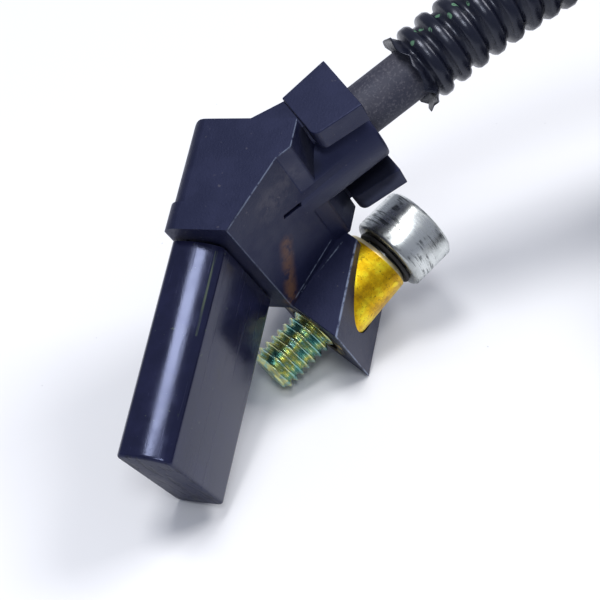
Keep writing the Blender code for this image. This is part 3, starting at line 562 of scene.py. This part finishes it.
DULL_BLACK, DULL_HAZE, PAINTED_SHADE_BLACK = (0.004, 0.005, 0.020), (0.009, 0.010, 0.034), (0.001, 0.001, 0.003)
RUST_BROWN, FILM_GREY, EDGE_PALE = (0.13, 0.062, 0.022), (0.14, 0.13, 0.13), (0.25, 0.30, 0.40)
SIDEWAYS = Matrix(((0, 0, 1, 0), (0, -1, 0, 0), (1, 0, 0, 0), (0, 0, 0, 1)))    # lays an outline on its side


def across_body(name, outline, x0, x1):
    """A solid with one (height, forward) outline all across the body."""
    piece = prism(name, outline, x0, x1)
    piece.data.transform(SIDEWAYS)
    return piece


def apply(piece, modifier):
    """Makes what a modifier does the piece's own mesh."""
    bpy.context.view_layer.objects.active = piece
    bpy.ops.object.modifier_apply(modifier=modifier.name)


def round_edges(piece, width, segments, angle):
    """Rounds the edges sharper than the angle, as a mould's corners are."""
    bevel = piece.modifiers.new("rounding", "BEVEL")
    bevel.width, bevel.segments = width, segments
    bevel.limit_method, bevel.angle_limit = "ANGLE", radians(angle)
    apply(piece, bevel)


def combine(piece, other, how="UNION"):
    """Joins, cuts or trims piece with another, which is then gone."""
    boolean = piece.modifiers.new(how, "BOOLEAN")
    boolean.operation, boolean.object, boolean.solver = how, other, "EXACT"
    apply(piece, boolean)
    bpy.data.objects.remove(other, do_unlink=True)


def trim_to_plan(piece, left, right, back):
    """Trims a piece to its outline as seen along the nose, which is round at its two back corners."""
    front, below, above = -BODY_FRONT - 1 * MM, 23 * MM, 40 * MM
    outline = rounded([(left, front, 0), (right, front, 0), (right, back, BODY_CORNER),
                       (left, back, BODY_CORNER)], 8)
    combine(piece, prism("plan", outline, below, above), "INTERSECT")


block = across_body("body", rounded([
    (BODY_FOOT, -BODY_BACK, 0.9 * MM), (BODY_FOOT, RIM_FRONT, 0.25 * MM), (33.3 * MM, 8.3 * MM, 0.5 * MM),
    (34.7 * MM, BODY_FRONT, 0.5 * MM), (BODY_TOP, BODY_FRONT, 0.35 * MM),
    (BODY_TOP, -BODY_BACK, 1.2 * MM)], 5), -BODY_HALF, BODY_HALF)
trim_to_plan(block, -BODY_HALF, BODY_HALF, BODY_BACK)
band_half, band_back = BODY_HALF + BAND_PROUD, BODY_BACK + BAND_PROUD
band = across_body("band", rounded([
    (BODY_FOOT, -band_back, 0.6 * MM), (BODY_FOOT, RIM_FRONT, 0.25 * MM),
    (BAND_TOP, RIM_FRONT + 1.3 * MM, 0), (BAND_TOP, -band_back, 0.12 * MM)], 4),
    -band_half, BODY_HALF - 1 * MM)
trim_to_plan(band, -band_half, BODY_HALF, band_back)
combine(block, band)
round_edges(block, 0.16 * MM, 3, 40)


def outlet_side(points):
    """(along, across) points of the outlet as (height, forward) points of the body."""
    slant = cos(OUTLET_LEAN)
    return [((along + across) * slant * MM, (along - across) * slant * MM) for along, across in points]


neck = across_body("neck", outlet_side(NECK_SIDE), -NECK_HALF, NECK_HALF)
round_edges(neck, 0.2 * MM, 2, 30)
combine(block, neck)

for left, right in ((-ARM_OUTER, -ARM_INNER), (ARM_INNER, ARM_OUTER)):
    arm = across_body("arm", outlet_side(rounded(ARM_SIDE, 6)), left, right)
    round_edges(arm, 0.14 * MM, 3, 40)
    combine(block, arm)

boss = rod(72, BOSS_RADIUS, BOSS_LENGTH)
edit(boss, "EDGE", lambda at: at.z > BOSS_LENGTH / 2 - 0.1 * MM)
bpy.ops.mesh.bevel(offset=BOSS_EDGE, segments=4, affect="EDGES")
leave_edit()
lean = Matrix.Rotation(OUTLET_LEAN, 4, "X")
boss.data.transform(Matrix.Translation(SENSOR.inverted() @ outlet(BOSS_ALONG, BOSS_ACROSS)) @ lean)
combine(block, boss)

lug = across_body("lug", [(a * MM, b * MM) for a, b in LUG_SIDE], LUG_INNER * MM, LUG_OUTER * MM)
round_edges(lug, 0.13 * MM, 3, 25)
combine(block, lug)

SLEEVE = Matrix.Translation(Vector((15.5, -10.85, SLEEVE_TOP)) * MM) @ Matrix.Rotation(
    radians(90) - SLEEVE_LEAN, 4, "X")
hole = rod(72, SLEEVE_HOLE_RADIUS, 30 * MM)
hole.data.transform(SLEEVE)
combine(block, hole, "DIFFERENCE")

hole = rod(48, CABLE_HOLE_RADIUS, CABLE_HOLE_DEPTH)
hole.data.transform(Matrix.Translation(SENSOR.inverted() @ outlet(CABLE_HOLE_ALONG, CABLE_ACROSS)) @ lean)
combine(block, hole, "DIFFERENCE")

bpy.ops.object.select_all(action="DESELECT")
bpy.ops.mesh.primitive_cube_add(size=1)
stroke = bpy.context.object
front_normal = Vector((0, -0.924, -0.382))
stroke_axis = Vector((1.3, -1.0, 2.35)).normalized()
stroke_axis = (stroke_axis - front_normal * stroke_axis.dot(front_normal)).normalized()
turn = Matrix((stroke_axis.cross(front_normal), stroke_axis, front_normal)).transposed().to_4x4()
stroke.data.transform(Matrix.Translation(STROKE_PLACE) @ turn @ Matrix.Diagonal((*STROKE_SIZE, 1)))
combine(block, stroke, "DIFFERENCE")
smooth(block)
even = block.modifiers.new("even_shading", "WEIGHTED_NORMAL")
even.keep_sharp = True
apply(block, even)
block.data.transform(SENSOR)

dull = Finish("dull_nylon", (0.008, 0.009, 0.028), 0.46, **{
    "Specular IOR Level": 0.6, "Specular Tint": (0.5, 0.57, 1.0, 1)})
grain = dull.noise(3800, 4, 0.65)
haze = dull.step(dull.noise(210, 6, 0.65), 0.42, 0.72)
broken = dull.step(dull.noise(1300, 4), 0.36, 0.52)
half = BODY_HALF / MM


def lines(*points):
    """The pieces of a line through points of the laid-down sensor."""
    placed = [laid(*point) for point in points]
    return list(zip(placed, placed[1:]))


flash = dull.marks(lines((-half, -4.7, 24.6), (-half, -8.3, 33.3), (-half, -9.7, 34.7), (-half, -9.7, 38.2))
                   + lines((-half, -4.7, 24.55), (half, -4.7, 24.55)), 0.15) * broken
worn_lug = dull.marks(lines((21.4, -LUG_FACE, LUG_FOOT), (LUG_INNER, -LUG_FACE, LUG_FOOT),
                            (LUG_INNER, -LUG_FACE, 33.5)), 0.26)
worn_lug = worn_lug * dull.step(dull.noise(900, 4), 0.34, 0.55)
scores = dull.marks(lines((8.54, -8.1, 32.82), (8.96, -5.11, 25.59))
                    + lines((9.55, -9.07, 33.1), (9.35, -5.51, 26.55)), 0.13) * broken
# Painted shade: the front face is darkened where the fork's arm shades it, and the gap between the boss and
# the arm is painted nearly black, both a little rougher.
recess_shade = dull.marks(lines((-7.9, -9.7, 37.6), (-3.6, -9.8, 35.7))
                    + lines((6.0, -9.7, 37.2), (8.8, -9.7, 37.7)), 1.5, 0.8)
cavity_shade = dull.marks(lines((5.4, -11.0, 37.4), (5.4, -13.8, 40.4)), 2.4, 0.4)
rust = dull.mark(laid(0.9, -6.3, 28.6), laid(8.2, -4.9, 25.2), 1.5, 0.9)
rust = rust * dull.step(dull.noise(620, 5, 0.7), 0.36, 0.55)
film = dull.mark(laid(-6.2, -6.8, 29.6), laid(-5.6, -8.3, 33.2), 3.2, 1.0)
film = film * dull.step(dull.noise(330, 5, 0.7), 0.4, 0.65)
fleck = dull.step(dull.noise(1400, 2), 0.69, 0.75)
black = dull.mix(haze * 0.5, DULL_BLACK, DULL_HAZE)
black = dull.mix(rust * 0.75, black, RUST_BROWN)
black = dull.mix(film * 0.35 + fleck * 0.3, black, FILM_GREY)
black = dull.mix(flash * 0.4 + worn_lug * 0.65 + scores * 0.5, black, EDGE_PALE)
dull.set({"Base Color": dull.mix(recess_shade * 0.85 + cavity_shade * 0.95, black, PAINTED_SHADE_BLACK),
          "Roughness": 0.42 + haze * 0.16 + cavity_shade * 0.3 + recess_shade * 0.25})
dull.bump(grain, 0.00004, 0.5)
block.data.materials.append(dull.material)
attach(block, "root")
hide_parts("housing")


# Sleeve
# A turned steel compression sleeve moulded into the lug, plated in yellow zinc. A thin flange at its foot
# is the seat, and its top stands out of the lug to take the bolt's head.

SEAT_LEVEL = 21.15
SEAT_DEPTH = (SLEEVE_TOP - SEAT_LEVEL) * sin(SLEEVE_LEAN) * MM
SLEEVE_RADIUS, SLEEVE_BORE, FLANGE_RADIUS = 4.44 * MM, 3.5 * MM, 4.6 * MM
SLEEVE_WORLD = SENSOR @ SLEEVE
ZINC_STOPS = ((0.34, (0.48, 0.25, 0.004)), (0.5, (0.80, 0.50, 0.006)), (0.66, (0.97, 0.80, 0.03)))
PIT_BROWN, LINE_BROWN = (0.10, 0.045, 0.005), (0.35, 0.22, 0.01)
TOP_PALE, FOOT_SHADE, FOOT_PALE = (0.62, 0.56, 0.36), (0.04, 0.03, 0.02), (0.42, 0.32, 0.12)
CHIP_YELLOW = (0.95, 0.70, 0.02)


def turned(name, profile, steps=72):
    """A circle's corners drawn out to a closed (radius, height) profile, which is spun about z."""
    bpy.ops.object.select_all(action="DESELECT")
    bpy.ops.mesh.primitive_circle_add(vertices=len(profile))
    piece = bpy.context.object
    piece.name = name
    for corner, (radius, height) in zip(piece.data.vertices, profile):
        corner.co = (radius, 0, height)
    edit(piece, "VERT", lambda at: True)
    bpy.ops.mesh.spin(steps=steps, angle=2 * pi, center=(0, 0, 0), axis=(0, 0, 1))
    bpy.ops.mesh.select_all(action="SELECT")
    bpy.ops.mesh.remove_doubles(threshold=1e-6)
    bpy.ops.mesh.normals_make_consistent(inside=False)
    leave_edit()
    smooth(piece, 40)
    return piece


sleeve = turned("sleeve", [
    (SLEEVE_BORE, -SEAT_DEPTH - 0.1 * MM), (FLANGE_RADIUS, -SEAT_DEPTH - 0.1 * MM),
    (FLANGE_RADIUS, -SEAT_DEPTH + 0.3 * MM), (SLEEVE_RADIUS, -SEAT_DEPTH + 0.3 * MM),
    (SLEEVE_RADIUS, 0.35 * MM), (4.36 * MM, 0.5 * MM), (3.9 * MM, 0.95 * MM), (SLEEVE_BORE, 0.95 * MM)])
sleeve.data.transform(SLEEVE_WORLD)

zinc = Finish("yellow_zinc", (0.6, 0.4, 0.01), 0.33, 0.85)
rise = zinc.along(SLEEVE_WORLD.to_3x3() @ Vector((0, 0, 1)), SLEEVE_WORLD.translation)
foot = -SEAT_DEPTH / MM
cloud = zinc.noise(420, 5, 0.65)
pit = zinc.step(zinc.noise(2600, 5, 0.75), 0.55, 0.66)
turned_lines = zinc.noise(1800, 4, 0.6, (0.06, 0.06, 1), SLEEVE_WORLD)
colour = zinc.node("ValToRGB", {"stops": ZINC_STOPS}, {"Fac": cloud})
chip = zinc.mark(laid(15.24, -14.33, 30.58), laid(15.6, -14.2, 30.9), 0.45, 0.3)
stained = zinc.mix(pit * 0.7, colour, PIT_BROWN)
stained = zinc.mix(zinc.step(turned_lines, 0.5, 0.7) * 0.35, stained, LINE_BROWN)
stained = zinc.mix(zinc.step(rise, 0.36, 0.5) * 0.85, stained, TOP_PALE)
# Painted shade: the sleeve's foot, just above the seat, is darkened, with paler patches through it.
stained = zinc.mix(zinc.step(rise, foot + 0.1, foot + 0.9, 1.0, 0.0), stained,
                   zinc.mix(zinc.step(cloud, 0.5, 0.6), FOOT_SHADE, FOOT_PALE))
zinc.set({"Base Color": zinc.mix(chip, stained, CHIP_YELLOW), "Roughness": 0.3 + cloud * 0.2})
zinc.bump(zinc.noise(3000, 4) + chip * 2, 0.00004, 0.5)
sleeve.data.materials.append(zinc.material)
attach(sleeve, "root")
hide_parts("mounting_sleeve")


# Bolt
# An M6 x 20 socket head cap bolt: forged and turned steel in clear zinc, with scratches round its head, and
# its rolled thread tinted yellow and green by the passivation. It stands a little skew in the sleeve.

HEAD_RADIUS, HEAD_HEIGHT, BOLT_LENGTH = 5.0, 6.0, 20.0
HEX_RADIUS, HEX_FLOOR, HEX_ABOVE = 2.9, 3.0, 7.0
THREAD_RADIUS, THREAD_DEPTH, PITCH = 2.95, 0.55, 1.0
THREAD_TOP, PLAIN_FROM, PLAIN_RADIUS = 0.9, 9.5, 2.62      # down from the head, and the plain part's radius
POINT_RADIUS, POINT_FLARE = 2.3, 1.1
COLUMNS, ROWS = 60, 230
ASIDE, STEEP = radians(3.9), radians(56)
BOLT_AXIS = Vector((sin(ASIDE), -cos(ASIDE) * cos(STEEP), cos(ASIDE) * sin(STEEP)))
BOLT_TURN = BOLT_AXIS.to_track_quat("Z", "Y").to_matrix().to_4x4()
BOLT = Matrix.Translation(Vector((16.17, -12.22, 34.70)) * MM) @ BOLT_TURN
BOLT_WORLD = SENSOR @ BOLT
STEEL_BRIGHT, STEEL_STAIN = (0.68, 0.71, 0.70), (0.34, 0.36, 0.35)
UNDERSIDE_SHADE_DARK, SCRATCH_DARK = (0.10, 0.11, 0.11), (0.06, 0.07, 0.075)
TINT_STOPS = ((0.30, (0.12, 0.34, 0.34)), (0.42, (0.28, 0.50, 0.42)), (0.52, (0.66, 0.64, 0.24)),
              (0.58, (0.36, 0.52, 0.40)), (0.70, (0.22, 0.38, 0.44)))

head = turned("bolt_head", [(x * MM, z * MM) for x, z in (
    (0, -1.0), (2.6, -1.0), (2.6, 0), (4.5, 0), (4.72, 0.06), (4.95, 0.28), (HEAD_RADIUS, 0.45),
    (HEAD_RADIUS, 5.45), (4.94, 5.68), (4.6, HEAD_HEIGHT), (0, HEAD_HEIGHT))], 96)
key = prism("key", [(HEX_RADIUS * cos(k * pi / 3) * MM, HEX_RADIUS * sin(k * pi / 3) * MM) for k in range(6)],
            HEX_FLOOR * MM, HEX_ABOVE * MM)
combine(head, key, "DIFFERENCE")
smooth(head, 30)

bpy.ops.object.select_all(action="DESELECT")
bpy.ops.mesh.primitive_grid_add(x_subdivisions=COLUMNS, y_subdivisions=ROWS, size=2)
shank = bpy.context.object
shank.name = "bolt_shank"
for corner in shank.data.vertices:
    turn, down = (corner.co.x + 1) / 2, (corner.co.y + 1) / 2
    z = -BOLT_LENGTH + down * (BOLT_LENGTH - THREAD_TOP)
    phase = (z / PITCH - turn) % 1
    crest = max(0, min(1, (abs(phase - 0.5) * 2 - 0.1) / 0.78))
    radius = THREAD_RADIUS - THREAD_DEPTH * (1 - crest)
    if z > -PLAIN_FROM:
        radius = min(radius, PLAIN_RADIUS)
    radius = min(radius, POINT_RADIUS + (z + BOLT_LENGTH) * POINT_FLARE)
    corner.co = (radius * cos(2 * pi * turn) * MM, radius * sin(2 * pi * turn) * MM, z * MM)
edit(shank, "VERT", lambda at: True)
bpy.ops.mesh.remove_doubles(threshold=1e-6)
leave_edit()
edit(shank, "EDGE", lambda at: at.z < (-BOLT_LENGTH + 0.01) * MM)
bpy.ops.mesh.edge_face_add()
leave_edit()
edit(shank, "EDGE", lambda at: at.z > (-THREAD_TOP - 0.01) * MM)
bpy.ops.mesh.edge_face_add()
bpy.ops.mesh.select_all(action="SELECT")
bpy.ops.mesh.normals_make_consistent(inside=False)
leave_edit()
smooth(shank, 50)

steel = Finish("clear_zinc", (0.55, 0.58, 0.58), 0.3, 0.95)
ground = steel.noise(2600, 5, 0.65, (0.07, 0.07, 1), BOLT_WORLD)
scratch = steel.step(ground, 0.50, 0.56) * steel.step(steel.noise(420, 3), 0.46, 0.58)
stain = steel.step(steel.noise(700, 5, 0.7), 0.48, 0.7)
# Painted shade: the head's underside and the lowest part of its side are darkened where the head overhangs
# the sleeve.
head_underside_shade = steel.mark(BOLT_WORLD @ Vector((0, 0, -0.3 * MM)), BOLT_WORLD @ Vector((0, 0, 0.1 * MM)), 5.2, 0.06)
bare = steel.mix(stain * 0.4, STEEL_BRIGHT, STEEL_STAIN)
bare = steel.mix(head_underside_shade * 0.5, bare, UNDERSIDE_SHADE_DARK)
steel.set({"Base Color": steel.mix(scratch * 0.8, bare, SCRATCH_DARK),
           "Roughness": 0.20 + stain * 0.12 + ground * 0.16})
steel.bump(steel.noise(2500, 4) * 0.3 + ground, 0.00002, 0.6)
head.data.materials.append(steel.material)
head.data.transform(BOLT_WORLD)

tint = Finish("tinted_zinc", (0.25, 0.4, 0.25), 0.27, 0.95)
tint.set({"Base Color": tint.node("ValToRGB", {"stops": TINT_STOPS}, {"Fac": tint.noise(480, 3, 0.5)})})
shank.data.materials.append(tint.material)
shank.data.transform(BOLT_WORLD)
for piece in (head, shank):
    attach(piece, "root")
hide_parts("cap_bolt")

ring = turned("captive_ring_rubber", [(x * MM, z * MM) for x, z in (
    (2.95, -0.54), (3.85, -0.54), (3.92, -0.45), (3.92, -0.2), (3.85, -0.12), (2.95, -0.12))])
ring.data.transform(BOLT_WORLD)
black_rubber = Finish("ring_rubber", (0.006, 0.006, 0.007), 0.7)
black_rubber.bump(black_rubber.noise(4000, 3), 0.00004, 0.5)
ring.data.materials.append(black_rubber.material)
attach(ring, "root")
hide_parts("captive_ring")


# Connector and ties
# The lead ends in a moulded three-pin connector, held in a rubber boot; two nylon ties keep the coil.
# Their shapes are the model's own, finished here as moulded plastic, rubber and tinned brass.

moulded = Finish("connector_plastic", (0.018, 0.019, 0.024), 0.5)
moulded.bump(moulded.noise(3500, 4), 0.00005, 0.5)
red = Finish("lock_plastic", (0.45, 0.05, 0.03), 0.45)
red.bump(red.noise(3500, 4), 0.00004, 0.4)
tin = Finish("tinned_brass", (0.62, 0.62, 0.6), 0.3, 1.0)
tin.set({"Roughness": 0.25 + tin.noise(1500, 3) * 0.2})


def dress(name, finish):
    """Puts a finish on a piece that keeps the model's own shape."""
    materials = frame["nodes"][name].data.materials
    materials.clear()
    materials.append(finish.material)


for name, finish in (("connector_shell", moulded), ("pin_lock", red), ("conduit_boot", black_rubber),
                     ("connector_pin_1", tin), ("connector_pin_2", tin), ("connector_pin_3", tin),
                     ("coil_tie_1", moulded), ("coil_tie_2", moulded)):
    dress(name, finish)

[tuple(point) for point in centre_line[::40] + [centre_line[-1]]]


# Inside of the nose
# The pickup that the nose is moulded round: a soft iron pole piece in a wound spool, a magnet behind it,
# and two terminals with the cores crimped on. None of it shows.

for name, label, colour, roughness, metallic in (
        ("pole_piece", "soft_iron", (0.3, 0.3, 0.31), 0.45, 1.0),
        ("winding", "copper_wire", (0.7, 0.28, 0.12), 0.35, 1.0),
        ("winding_spool", "spool_nylon", (0.35, 0.33, 0.3), 0.5, 0.0),
        ("magnet", "magnet", (0.1, 0.1, 0.11), 0.4, 1.0),
        ("terminal_left", "terminal_tin", (0.6, 0.6, 0.58), 0.35, 1.0),
        ("terminal_right", "terminal_tin", (0.6, 0.6, 0.58), 0.35, 1.0),
        ("core_signal", "brown_core", (0.35, 0.16, 0.06), 0.5, 0.0),
        ("core_return", "blue_core", (0.1, 0.12, 0.35), 0.5, 0.0)):
    finish = Finish(label, colour, roughness, metallic)
    finish.set({"Roughness": roughness - 0.08 + finish.noise(1800, 3) * 0.16})
    dress(name, finish)
